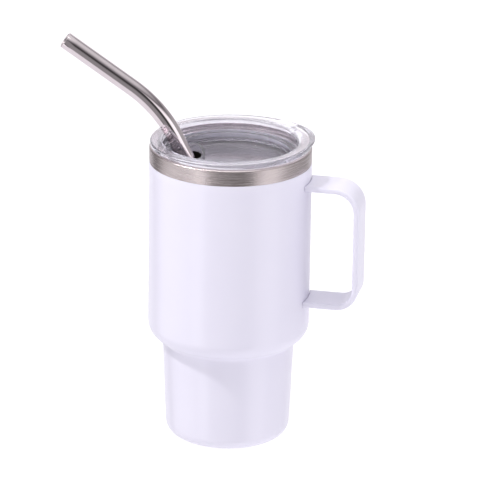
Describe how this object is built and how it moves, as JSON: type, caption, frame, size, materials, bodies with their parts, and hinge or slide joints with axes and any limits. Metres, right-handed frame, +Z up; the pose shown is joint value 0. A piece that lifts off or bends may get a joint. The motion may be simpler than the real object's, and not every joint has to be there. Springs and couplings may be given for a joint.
{
  "type": "insulated tumbler",
  "caption": "Small double-wall steel tumbler with a stepped foot, strip handle, clear recessed lid and bent metal straw.",
  "frame": {"origin": "centre of the flat underside, on the cup's axis", "axes": "+Z up along the cup's axis; +X toward the handle; the straw leaves the lid on the -X side"},
  "size_m": [0.0899, 0.048, 0.1228],
  "materials": {
    "white_coat": "smooth white powder coat, semi-gloss",
    "bare_steel": "bare stainless steel, brushed round the cup",
    "liner_steel": "bare stainless steel, electropolished",
    "clear_plastic": "clear moulded plastic, glossy",
    "seal_rubber": "translucent silicone",
    "polished_steel": "polished stainless steel tube"
  },
  "bodies": {
    "cup": {"outer_shell": "white_coat", "rim_band": "bare_steel", "inner_liner": "liner_steel", "base_cap": "white_coat", "handle": "white_coat"},
    "lid": {"lid": "clear_plastic", "lid_seal": "seal_rubber"},
    "straw": {"straw": "polished_steel"}
  },
  "joints": [
    {"name": "lid_lift", "type": "slide", "parent": "cup", "child": "lid", "axis": [0, 0, 1], "range_m": [0, 0.03]},
    {"name": "straw_slide", "type": "slide", "parent": "lid", "child": "straw", "axis": [-0.4471, -0.0788, 0.891], "range_m": [0, 0.05]}
  ]
}
